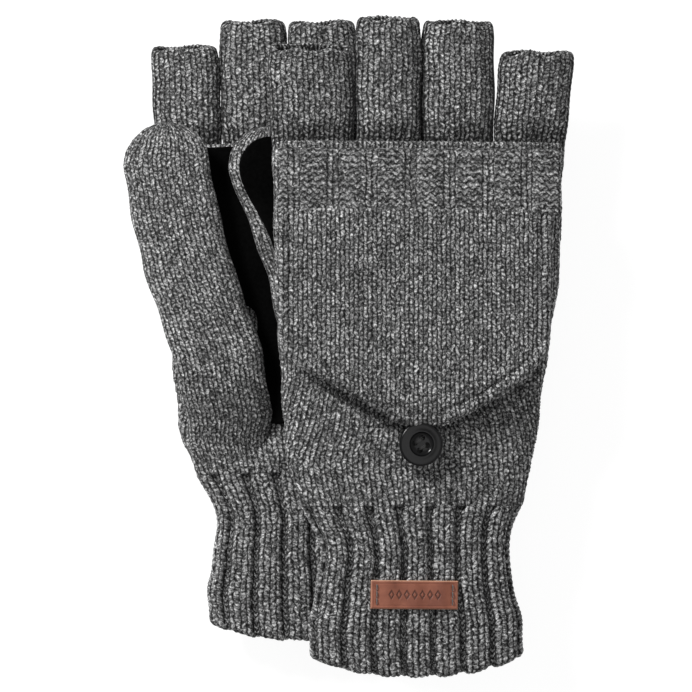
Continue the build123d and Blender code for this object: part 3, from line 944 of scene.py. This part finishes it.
def lathe(name, profile, steps=96):
    """A solid of revolution from (radius, height) points."""
    bm = bmesh.new()
    rings = []
    for radius, height in profile:
        if radius < 1e-6:
            rings.append([bm.verts.new((0, 0, height))])
        else:
            rings.append([bm.verts.new((radius * math.cos(a), radius * math.sin(a), height))
                          for a in np.linspace(0, 2 * math.pi, steps, endpoint=False)])
    for a, b in zip(rings, rings[1:]):
        for k in range(steps):
            n = (k + 1) % steps
            corners = [a[k % len(a)], a[n % len(a)], b[n % len(b)], b[k % len(b)]]
            unique = list(dict.fromkeys(corners))
            if len(unique) > 2:
                bm.faces.new(unique)
    bmesh.ops.recalc_face_normals(bm, faces=bm.faces)
    mesh = bpy.data.meshes.new(name)
    bm.to_mesh(mesh)
    bm.free()
    return new_object(name, mesh)


def placed(glove, obj, centre, turn=0.0):
    """Moves a mesh modelled in millimetres about the origin to its place on the glove."""
    points = points_of(obj.data)
    c, s = math.cos(math.radians(turn)), math.sin(math.radians(turn))
    points = points @ np.array([[c, s, 0], [-s, c, 0], [0, 0, 1]]) + np.array(centre)
    obj.data.vertices.foreach_set("co", glove.to_world(points).ravel())
    if glove.mirrored:
        obj.data.flip_normals()
    obj.data.update()


def make_button(glove):
    """A turned disc with a sunk middle and a raised rim, and four holes drilled through it."""
    points = glove.node("button")[0]
    low, high = points.min(0), points.max(0)
    radius, height = (high[0] - low[0]) / 2 + BUTTON_GROWTH, high[2] - low[2]
    profile = [(0, 0), (radius * 0.78, 0), (radius * 0.93, 0.35), (radius, 1.0), (radius, height - 1.3)]
    profile += [(radius - 0.75 * (1 - math.cos(a)), height - 1.3 + math.sin(a))
                for a in np.linspace(0.3, math.pi / 2, 5)]
    profile.append((radius - 1.5, height - 0.2))
    for share, drop in ((0.66, 0.28), (0.60, 0.1), (0.56, 0.15), (0.52, 0.75), (0.46, 1.15), (0.3, 1.35), (0, 1.4)):
        profile.append((radius * share, height - drop))
    disc = lathe(f"{glove.side}_button_look", profile)
    for quarter in range(4):
        angle = math.pi / 4 + quarter * math.pi / 2
        drill = lathe("drill", [(0, -1), (HOLE_RADIUS, -1), (HOLE_RADIUS, 5), (0, 5)], 24)
        drill.location = (HOLE_SPREAD * 1.414 * math.cos(angle), HOLE_SPREAD * 1.414 * math.sin(angle), 0)
        cut = disc.modifiers.new("hole", "BOOLEAN")
        cut.object, cut.operation, cut.solver = drill, "DIFFERENCE", "EXACT"
        mesh = evaluated_mesh(disc)
        disc.modifiers.clear()
        disc.data = mesh
        bpy.data.objects.remove(drill)
    shade_smooth(disc.data)
    mark_sharp(disc.data, 38)
    centre = (BUTTON_PIVOT[0] + BUTTON_SHIFT, BUTTON_PIVOT[1], low[2])
    placed(glove, disc, centre, BUTTON_TURN)
    finish(glove, disc, plastic, "button_plastic", "button_group", "button")


def mark_sharp(mesh, degrees):
    bm = bmesh.new()
    bm.from_mesh(mesh)
    for edge in bm.edges:
        edge.smooth = len(edge.link_faces) != 2 or edge.calc_face_angle(0) < math.radians(degrees)
    bm.to_mesh(mesh)
    bm.free()


def cord_mesh(name, points, radius):
    """A round tube along a smooth line near points, in millimetres."""
    curve = bpy.data.curves.new(name, "CURVE")
    curve.dimensions = "3D"
    curve.bevel_depth = radius
    curve.bevel_resolution = 5
    curve.use_fill_caps = True
    spline = curve.splines.new("NURBS")
    spline.points.add(len(points) - 1)
    for point, co in zip(spline.points, points):
        point.co = (*co, 1)
    spline.order_u = 3
    spline.use_endpoint_u = True
    spline.resolution_u = 6
    holder = new_object(name, curve)
    mesh = evaluated_mesh(holder)
    bpy.data.objects.remove(holder)
    return mesh


def joined(name, meshes):
    bm = bmesh.new()
    for mesh in meshes:
        bm.from_mesh(mesh)
    mesh = bpy.data.meshes.new(name)
    bm.to_mesh(mesh)
    bm.free()
    shade_smooth(mesh)
    return new_object(name, mesh)


def make_button_thread(glove):
    """Thread through the four holes, and its wound shank below."""
    low = glove.node("button_thread")[0][:, 2].min()
    button_low = glove.node("button")[0][:, 2].min() - low
    floor = button_low + 1.6
    strands = []
    for side in (-1, 1):
        for lane in (-0.2, 0.2):
            y = side * HOLE_SPREAD * 0.85 + lane
            rise = [(-1.1, y, button_low - 0.2), (-1.1, y, floor - 0.1), (-0.5, y, floor + 0.12)]
            strands.append(rise + [(-x, y, z) for x, y, z in rise[::-1]])
    wound = []
    for k in range(40):
        a = k * math.pi / 4
        wound.append((0.85 * math.cos(a), 0.85 * math.sin(a), 0.2 + (button_low - 0.5) * k / 39))
    meshes = [cord_mesh("strand", s, 0.18) for s in strands] + [cord_mesh("shank", wound, 0.3)]
    meshes.append(cord_mesh("core", [(0, 0, 0.0), (0, 0, 0.8), (0, 0, 1.6), (0, 0, button_low - 0.1)], 0.75))
    obj = joined(f"{glove.side}_button_thread_look", meshes)
    placed(glove, obj, (BUTTON_PIVOT[0] + BUTTON_SHIFT, BUTTON_PIVOT[1], low), BUTTON_TURN)
    finish(glove, obj, thread, "thread", "button_group", "button_thread")


def make_button_loop(glove):
    """Twisted elastic from the flap's point round the button's shank."""
    points = glove.node("button_loop")[0]
    low, high = points.min(0), points.max(0)
    x, y = BUTTON_PIVOT[:2]
    radius = (high[0] - low[0]) / 2 - 0.75
    z = (low[2] + high[2]) / 2
    path = [(x - 1.6, high[1] + 1.6, z + 1.0), (x - radius, high[1] - 1.0, z + 0.3), (x - radius, y + 1.5, z)]
    path += [(x - radius * math.cos(a) * 1.04, y - radius * math.sin(a) * 1.04, z)
             for a in np.linspace(0.2, math.pi - 0.2, 7)]
    path += [(x + radius, y + 1.5, z), (x + radius, high[1] - 1.0, z + 0.3), (x + 1.6, high[1] + 1.6, z + 1.0)]
    obj = joined(f"{glove.side}_button_loop_look", [cord_mesh("loop", path, 0.7)])
    placed(glove, obj, (BUTTON_SHIFT, 0, 0))
    finish(glove, obj, elastic, "elastic_cord", "flap_back", "button_loop")


def make_label(glove):
    """A leather label with a pressed border and a plain row of diamonds, sewn at its ends."""
    points = glove.node("leather_label")[0]
    centre = (points.min(0) + points.max(0)) / 2
    wide, tall, thick = LABEL_SIZE
    nx, ny = 190, 62
    x, y = np.meshgrid(np.linspace(-1, 1, nx), np.linspace(-1, 1, ny))
    px, py = x * wide / 2, y * tall / 2
    edge = np.minimum(wide / 2 - np.abs(px), tall / 2 - np.abs(py))
    top = thick / 2 - 0.35 * (1 - ease(0, 0.55, edge)) ** 2
    press = 0.10 * hump(edge, 1.15, 0.16)
    burn = np.zeros_like(px)
    for k in range(-3, 4):
        away = np.abs(px - k * 2.7) / 1.05 + np.abs(py) / 1.7
        burn += ease(1.15, 0.95, away) * (1 - ease(0.62, 0.42, away))
    press += 0.16 * burn
    seam = wide / 2 - LABEL_SEAM
    for k in (-1, 0, 1):
        press += 0.22 * hump(np.abs(px), seam, 0.5) * np.exp(-(((py - k * LABEL_STITCH) / 1.1) ** 4))
    bend = 0.18 * np.cos(px / 9.4 * 2 * math.pi) - 0.0012 * px**2
    levels = top - press + bend, bend - thick / 2
    grid = np.concatenate([np.stack([px, py, level], -1).reshape(-1, 3) for level in levels])
    index = np.arange(nx * ny).reshape(ny, nx)
    a, b, c, d = index[:-1, :-1], index[:-1, 1:], index[1:, 1:], index[1:, :-1]
    faces = [tuple(f) for f in np.stack([a, b, c, d], -1).reshape(-1, 4)]
    offset = nx * ny
    faces += [tuple(f[::-1] + offset) for f in np.stack([a, b, c, d], -1).reshape(-1, 4)]
    border = [*index[0, :], *index[1:, -1], *index[-1, -2::-1], *index[-2:0:-1, 0]]
    for p, q in zip(border, border[1:] + border[:1]):
        faces.append((p, p + offset, q + offset, q))
    mesh = bpy.data.meshes.new("leather_label")
    mesh.from_pydata(grid.tolist(), [], [tuple(int(i) for i in f) for f in faces])
    mesh.update()
    obj = new_object(f"{glove.side}_leather_label_look", mesh)
    cut = 0.5 * (1 - ease(0.0, 0.4, edge)) + 0.45 * (1 - ease(0.0, 0.55, tall / 2 - py))
    under = np.zeros(nx * ny)
    for attribute, value in (("wear", cut), ("burn", 0.7 * np.clip(burn, 0, 1))):
        values = np.concatenate([np.clip(value, 0, 1).ravel(), under])
        mesh.attributes.new(attribute, "FLOAT", "POINT").data.foreach_set("value", values)
    shade_smooth(mesh)
    placed(glove, obj, centre, LABEL_TURN)
    finish(glove, obj, leather, "leather", "hand", "leather_label")
    stitches = []
    level = thick / 2 - 0.02
    bow = ((-0.95, -0.5), (-0.75, 0), (0, 0.12), (0.75, 0), (0.95, -0.5))
    for x in (-seam, seam):
        for k in (-1, 0, 1):
            stitch = [(x, k * LABEL_STITCH + away, level + rise) for away, rise in bow]
            stitches.append(cord_mesh("stitch", stitch, 0.2))
    sewn = joined(f"{glove.side}_label_stitches_look", stitches)
    placed(glove, sewn, centre, LABEL_TURN)
    finish(glove, sewn, tan_thread, "thread", "hand", "label_stitches")


def squash(glove, obj, held_at):
    """Gives a soft piece a mesh of its own."""
    anchor = glove.to_world([held_at])[0]
    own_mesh(obj)


def make_glove(side, labelled):
    glove = Glove(side)
    make_hand(glove)
    make_cuff(glove)
    for name in STUBS:
        squash(glove, make_stub(glove, name), STUBS_HELD_AT)
    thumb = make_thumb(glove)
    make_flap(glove)
    make_hem(glove)
    make_base_seam(glove)
    make_patch(glove, "palm_patch")
    thumb_tip = glove.node("thumb_knit")[0][:, 1].max()
    pad = make_patch(glove, "thumb_patch", thin_tip(thumb_tip))
    for soft in (thumb, pad):
        squash(glove, soft, THUMB_HELD_AT)
    make_button(glove)
    make_button_thread(glove)
    make_button_loop(glove)
    if labelled:
        make_label(glove)
    return glove


right_glove = make_glove("right", labelled=True)
make_glove("left", labelled=False)


# ==== Studio ====
def make_floor():
    bpy.ops.mesh.primitive_plane_add(size=6, location=(0, 0, -0.0004))
    floor = bpy.context.object
    floor.name = "floor"
    material, _, shader = nodes_of("pale_floor")
    put(shader, Base_Color=(0.2, 0.2, 0.2, 1), Roughness=0.9, Emission_Color=(1, 1, 1, 1), Emission_Strength=0.9)
    floor.data.materials.append(material)


def make_light(name, place, size, power):
    light = bpy.data.lights.new(name, "AREA")
    light.energy, light.size = power, size
    obj = new_object(name, light)
    obj.location = place
    obj.rotation_euler = (-Vector(place)).to_track_quat("-Z", "Y").to_euler()


def make_camera():
    """Straight above the pair, from far enough away for a flat view."""
    camera = bpy.data.cameras.new("camera")
    camera.sensor_width = SENSOR
    camera.lens = SENSOR * (CAMERA_HEIGHT - GLOVE_LEVEL) / VIEW_WIDTH
    obj = new_object("camera", camera)
    middle = right_glove.to_world([[0, 0, 0]])[0] - np.array([*WRIST_PLACE, 0]) * MM
    obj.location = (middle[0], middle[1], CAMERA_HEIGHT)
    bpy.context.scene.camera = obj


make_floor()
make_light("key", (-1.05, 1.15, 1.05), 0.45, 38)
make_light("fill", (0.3, -0.2, 1.6), 1.2, 4)
make_camera()
world = bpy.data.worlds.new("studio")
world.use_nodes = True
put(world.node_tree.nodes["Background"], Color=(1, 1, 1, 1), Strength=0.30)
bpy.context.scene.world = world
bpy.context.scene.view_settings.view_transform = "Standard"
